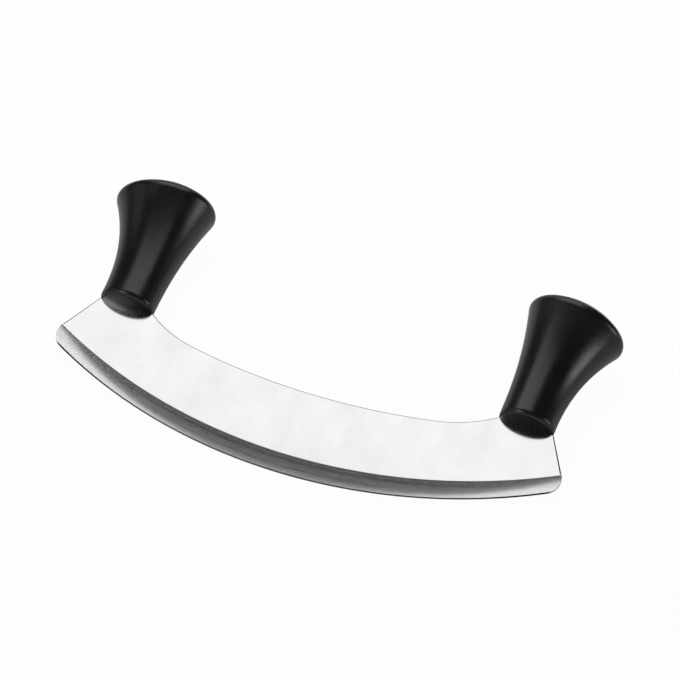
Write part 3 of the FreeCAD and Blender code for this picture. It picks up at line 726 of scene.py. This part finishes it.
def honed_steel_painted_shade():
    """Narrow honed edge with fine marks, and painted shade that makes it near black."""
    material, nodes, shader = new_material("honed_steel_painted_shade")
    place, _ = flat_place(nodes)
    marks = nodes.noise(place, HONE_MARKS, detail=3.0)
    # Painted shade: the near-black colours darken the whole honed strip.
    nodes.link(nodes.blend(marks, USUAL, HONED_PAINTED_SHADE_COLOURS), shader.inputs["Base Color"])
    nodes.link(nodes.spread(marks, USUAL, HONED_ROUGHNESS), shader.inputs["Roughness"])
    shader.inputs["Metallic"].default_value = 1.0
    return material


def stamped_steel_painted_shade():
    """Sheared edge of the sheet with the punch's drag marks, and painted shade: dark grey along the spine,
    near black at the ends.
    """
    material, nodes, shader = new_material("stamped_steel_painted_shade")
    place, parts = flat_place(nodes)
    drag = nodes.noise(place, DRAG_MARKS, detail=3.0)
    from_middle = nodes.math("ABSOLUTE", parts[0])
    # Painted shade: the sheared edge is dark grey along the spine and near black at the slanted ends.
    painted_shade_grey = nodes.spread(from_middle, (HALF_SPACING, HALF_SPACING + NECK_RADIUS), STAMPED_PAINTED_SHADE_GREYS)
    marked = nodes.math("ADD", nodes.math("MULTIPLY", drag, DRAG_CONTRAST), 1 - DRAG_CONTRAST / 2)
    nodes.link(nodes.math("MULTIPLY", painted_shade_grey, marked), shader.inputs["Base Color"])
    nodes.link(nodes.spread(drag, USUAL, STAMPED_ROUGHNESS), shader.inputs["Roughness"])
    nodes.link(nodes.bump(drag, *DRAG_BUMP), shader.inputs["Normal"])
    shader.inputs["Metallic"].default_value = 1.0
    return material


def black_plastic(name):
    """Satin black moulding: fine spark texture, faint flow lines up the handle and cloudy gloss."""
    material, nodes, shader = new_material(name)
    place, _ = flat_place(nodes)
    flow = nodes.noise(place, FLOW_LINES, detail=4.0)
    clouds = nodes.noise(place, GLOSS_CLOUDS, detail=2.0)
    grain = nodes.noise(place, SPARK_GRAIN, detail=2.0)
    shade = nodes.mix(flow, clouds, PLASTIC_CLOUDING)
    nodes.link(nodes.blend(shade, USUAL, PLASTIC_COLOURS), shader.inputs["Base Color"])
    nodes.link(nodes.spread(shade, USUAL, PLASTIC_ROUGHNESS), shader.inputs["Roughness"])
    rough = nodes.bump(grain, *GRAIN_BUMP)
    nodes.link(nodes.bump(flow, *FLOW_BUMP, normal=rough), shader.inputs["Normal"])
    shader.inputs["IOR"].default_value = PLASTIC_IOR
    return material


def dress():
    """Puts the finer meshes and the materials on the frame."""
    blade = build_blade()
    for material in (steel_face(), ground_steel(), honed_steel_painted_shade(), stamped_steel_painted_shade()):
        blade.data.materials.append(material)
    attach(blade, "root")
    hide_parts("blade")
    grip_plastic = black_plastic("grip_plastic_satin")
    core_plastic = black_plastic("core_plastic_satin")
    for name, side in (("left", -1), ("right", 1)):
        grip = build_grip(f"dressed_{name}_grip", side)
        grip.data.materials.append(grip_plastic)
        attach(grip, "root")
        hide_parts(f"{name}_handle_grip")
        core = frame["nodes"][f"{name}_handle_core"]
        core.material_slots[0].material = core_plastic


FLOOR_SIZE = 8.0
FLOOR_WHITE = 0.7
FLOOR_GLOW = 0.97          # share of plain white that the camera sees, which no shadow reaches
FLOOR_SHEEN = 0.13         # the same share in reflections


def seen_share(nodes):
    """Share of plain white for rays from the camera, and for those reflected or let through."""
    path = nodes.add("ShaderNodeLightPath")
    reflected = nodes.math("MAXIMUM", path.outputs["Is Glossy Ray"], path.outputs["Is Transmission Ray"])
    direct = nodes.math("MULTIPLY", path.outputs["Is Camera Ray"], FLOOR_GLOW)
    return nodes.math("MAXIMUM", direct, nodes.math("MULTIPLY", reflected, FLOOR_SHEEN))


def pale_table():
    """Matt white that mostly glows to the camera, so that only a soft faint shadow shows on it."""
    material = bpy.data.materials.new("pale_table")
    material.use_nodes = True
    nodes = Nodes(material.node_tree)
    output = nodes.add("ShaderNodeOutputMaterial")
    matt = nodes.add("ShaderNodeBsdfDiffuse", Color=(FLOOR_WHITE, FLOOR_WHITE, FLOOR_WHITE, 1.0))
    glow = nodes.add("ShaderNodeEmission", Strength=1.0)
    mix = nodes.add("ShaderNodeMixShader")
    nodes.link(seen_share(nodes), mix.inputs["Fac"])
    nodes.link(matt.outputs[0], mix.inputs[1])
    nodes.link(glow.outputs[0], mix.inputs[2])
    nodes.link(mix.outputs[0], output.inputs["Surface"])
    return material


def add_floor():
    """Table top that the knife lies on."""
    bpy.ops.mesh.primitive_plane_add(size=FLOOR_SIZE)
    floor = bpy.context.object
    floor.name = "floor"
    floor.data.materials.append(pale_table())


# Levels of the surroundings for all but the camera, in front of the table and behind it.
LOW_LEVELS = (0.9, 0.15)
CEILING_LEVELS = (0.1, 0.03)

# Parts of a direction between which they fade: from front to back, and upwards for the low ones.
LOW_FADE = (-0.8, -0.4)
CEILING_FADE = (-0.4, -0.1)
HORIZON_FADE = (0.08, 0.45)


def add_world():
    """Low surroundings, white in front of the table, under a dim ceiling; the camera sees plain white."""
    world = bpy.data.worlds.new("studio")
    world.use_nodes = True
    bpy.context.scene.world = world
    nodes = Nodes(world.node_tree)
    output = nodes.add("ShaderNodeOutputWorld")
    background = nodes.add("ShaderNodeBackground")
    parts = nodes.add("ShaderNodeSeparateXYZ")
    nodes.link(nodes.add("ShaderNodeTexCoord").outputs["Generated"], parts.inputs[0])
    low = nodes.spread(parts.outputs["Z"], HORIZON_FADE, (1.0, 0.0))
    white = nodes.spread(parts.outputs["Y"], LOW_FADE, LOW_LEVELS)
    ceiling = nodes.spread(parts.outputs["Y"], CEILING_FADE, CEILING_LEVELS)
    reflected = nodes.math("ADD", nodes.math("MULTIPLY", low, white), ceiling)
    seen = nodes.add("ShaderNodeLightPath").outputs["Is Camera Ray"]
    nodes.link(nodes.math("MAXIMUM", reflected, seen), background.inputs["Color"])
    nodes.link(background.outputs[0], output.inputs["Surface"])


# Places and sizes of the lamps, in metres.
LAMP_DISTANCE = 1.2
TABLE_MIDDLE = (0.0, 0.0, 0.03)
SMALL_BOX = (0.38, 0.34)
KEY_PLACE = (-0.09, 0.225, 0.36)
KEY_FOOT = (-0.09, 0.225, 0.0)
BACK_PLACE = (-0.19, 0.56, 0.36)
BACK_AIM = (-0.1, 0.05, 0.05)
FILL_PLACE = (0.0, -0.6, 2.0)
FILL_AIM = (0.0, 0.0, 0.0)
FILL_SIZE = (2.5, 2.5)


def add_softbox(name, place, aim, size, level, mirrored_in_gloss=True):
    """Rectangular lamp that looks as bright as a white card of the given level."""
    lamp = bpy.data.lights.new(name, "AREA")
    lamp.shape = "RECTANGLE"
    lamp.size, lamp.size_y = size
    lamp.energy = level * math.pi * size[0] * size[1]
    lit = bpy.data.objects.new(name, lamp)
    facing = (Vector(place) - Vector(aim)).to_track_quat("Z", "Y").to_matrix().to_4x4()
    lit.matrix_world = Matrix.Translation(place) @ facing
    lit.visible_glossy = mirrored_in_gloss
    lit.visible_camera = False
    bpy.context.scene.collection.objects.link(lit)


def far_place(azimuth, elevation):
    """Place of a lamp seen from the table's middle, in degrees round from the back and up."""
    turn, rise = math.radians(azimuth), math.radians(elevation)
    level = LAMP_DISTANCE * math.cos(rise)
    return level * math.sin(turn), level * math.cos(turn), TABLE_MIDDLE[2] + LAMP_DISTANCE * math.sin(rise)


def add_lights():
    """One lamp over the table's back, one behind, five round it, and a fill that nothing mirrors."""
    add_softbox("key_softbox", KEY_PLACE, KEY_FOOT, size=(0.37, 0.32), level=1.48)
    add_softbox("back_softbox", BACK_PLACE, BACK_AIM, size=(0.75, 0.6), level=0.6)
    add_softbox("right_softbox", far_place(86, 12), TABLE_MIDDLE, size=(0.38, 0.4), level=3.4)
    add_softbox("high_right_softbox", far_place(88, 25), TABLE_MIDDLE, SMALL_BOX, level=1.4)
    add_softbox("high_left_softbox", far_place(-135, 45), TABLE_MIDDLE, SMALL_BOX, level=4.4)
    add_softbox("left_softbox", far_place(-98, 30), TABLE_MIDDLE, size=(0.7, 0.5), level=0.4)
    add_softbox("front_softbox", far_place(-152, 25), TABLE_MIDDLE, SMALL_BOX, level=1.2)
    add_softbox("fill_light", FILL_PLACE, FILL_AIM, FILL_SIZE, level=0.6, mirrored_in_gloss=False)


def add_camera():
    """Camera at the photograph's viewing angle."""
    level = math.cos(CAMERA_ELEVATION)
    aside = math.sin(CAMERA_AZIMUTH) * level
    ahead = math.cos(CAMERA_AZIMUTH) * level
    back = Vector((aside, -ahead, math.sin(CAMERA_ELEVATION)))
    lens = bpy.data.cameras.new("camera")
    lens.sensor_width = SENSOR_WIDTH
    lens.lens = SENSOR_WIDTH * FOCAL_PIXELS / IMAGE_PIXELS
    camera = bpy.data.objects.new("camera", lens)
    place = Matrix.Translation(CAMERA_AIM + back * CAMERA_DISTANCE)
    facing = back.to_track_quat("Z", "Y").to_matrix().to_4x4()
    camera.matrix_world = place @ facing @ Matrix.Rotation(CAMERA_ROLL, 4, "Z")
    bpy.context.scene.collection.objects.link(camera)
    bpy.context.scene.camera = camera


dress()
add_floor()
add_world()
add_lights()
add_camera()
bpy.context.scene.view_settings.view_transform = "Standard"
